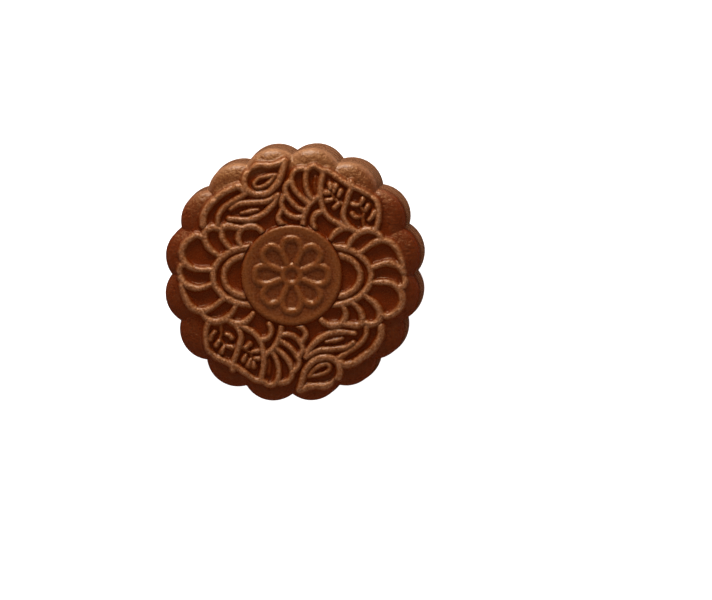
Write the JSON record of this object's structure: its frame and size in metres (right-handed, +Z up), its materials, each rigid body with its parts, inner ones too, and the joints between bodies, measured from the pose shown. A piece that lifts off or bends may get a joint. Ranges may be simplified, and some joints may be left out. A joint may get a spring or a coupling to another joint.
{
  "type": "mooncake",
  "caption": "Round baked mooncake with a scalloped side, a moulded top of flowers, leaves and fans round a raised medallion, and a flat base.",
  "frame": {"origin": "middle of the flat base, on the cake's axis", "axes": "+Z up along the cake's axis, out of the moulded top; +Y points to the tip of the large leaf and the fan, so that the two half flowers lie on -X and +X"},
  "size_m": [0.0742, 0.0738, 0.0338],
  "materials": {
    "crust": "baked chocolate crust with a thin glossy egg wash"
  },
  "bodies": {
    "root": {"mooncake": "crust"}
  },
  "joints": []
}
